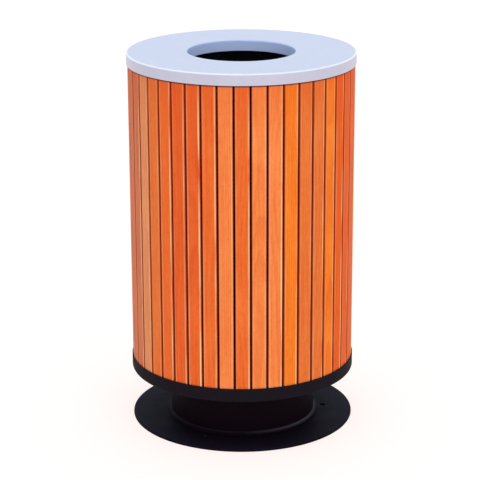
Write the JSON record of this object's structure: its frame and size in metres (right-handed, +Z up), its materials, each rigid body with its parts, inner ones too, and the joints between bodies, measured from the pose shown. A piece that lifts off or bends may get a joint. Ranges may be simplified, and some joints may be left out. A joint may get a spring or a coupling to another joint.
{
  "type": "litter bin",
  "caption": "Round street litter bin: upright timber slats on a black pedestal foot, flat grey lid with a round mouth, lift-out liner.",
  "frame": {"origin": "centre of the foot's underside, on the ground", "axes": "+Z up along the bin's axis; -Y is the front, as seen by the camera; +X is to the viewer's right"},
  "size_m": [0.5029, 0.503, 0.84],
  "materials": {
    "timber": "oiled hardwood, planed, eased edges",
    "lid_grey": "pale grey powder coat, satin",
    "base_black": "black powder coat, satin",
    "frame_steel": "black powder coat, satin",
    "fixings": "zinc plated",
    "buffer_rubber": "moulded, matt",
    "liner_black": "black stoved paint on galvanised sheet, scuffed inside",
    "handle_wire": "galvanised bar and plate"
  },
  "bodies": {
    "casing": {"slat_01": "timber", "slat_02": "timber", "slat_03": "timber", "slat_04": "timber", "slat_05": "timber", "slat_06": "timber", "slat_07": "timber", "slat_08": "timber", "slat_09": "timber", "slat_10": "timber", "slat_11": "timber", "slat_12": "timber", "slat_13": "timber", "slat_14": "timber", "slat_15": "timber", "slat_16": "timber", "slat_17": "timber", "slat_18": "timber", "slat_19": "timber", "slat_20": "timber", "slat_21": "timber", "slat_22": "timber", "slat_23": "timber", "slat_24": "timber", "slat_25": "timber", "slat_26": "timber", "slat_27": "timber", "slat_28": "timber", "slat_29": "timber", "slat_30": "timber", "slat_31": "timber", "slat_32": "timber", "slat_33": "timber", "slat_34": "timber", "slat_35": "timber", "slat_36": "timber", "slat_37": "timber", "slat_38": "timber", "slat_39": "timber", "slat_40": "timber", "slat_41": "timber", "slat_42": "timber", "slat_43": "timber", "slat_44": "timber", "foot_plate": "base_black", "neck_drum": "base_black", "base_tray": "base_black", "neck_bolts": "fixings", "slat_hoops": "frame_steel", "top_ring": "frame_steel", "frame_posts": "frame_steel", "slat_screws": "fixings", "lid_buffers": "buffer_rubber"},
    "liner": {"liner_shell": "liner_black", "liner_base": "liner_black", "handle_brackets": "handle_wire", "handle_rivets": "fixings"},
    "lid": {"lid_panel": "lid_grey"},
    "handle_left": {"liner_handle_left": "handle_wire"},
    "handle_right": {"liner_handle_right": "handle_wire"}
  },
  "joints": [
    {"name": "liner_lift", "type": "slide", "parent": "casing", "child": "liner", "axis": [0, 0, 1], "range_m": [0, 0.73]},
    {"name": "lid_lift", "type": "slide", "parent": "liner", "child": "lid", "axis": [0, 0, 1], "range_m": [0, 0.2]},
    {"name": "handle_swing_left", "type": "hinge", "parent": "liner", "child": "handle_left", "pos_m": [-0.182, 0, 0.759], "axis": [0, -1, 0], "range_deg": [-8, 188]},
    {"name": "handle_swing_right", "type": "hinge", "parent": "liner", "child": "handle_right", "pos_m": [0.182, 0, 0.759], "axis": [0, 1, 0], "range_deg": [-8, 188]}
  ]
}
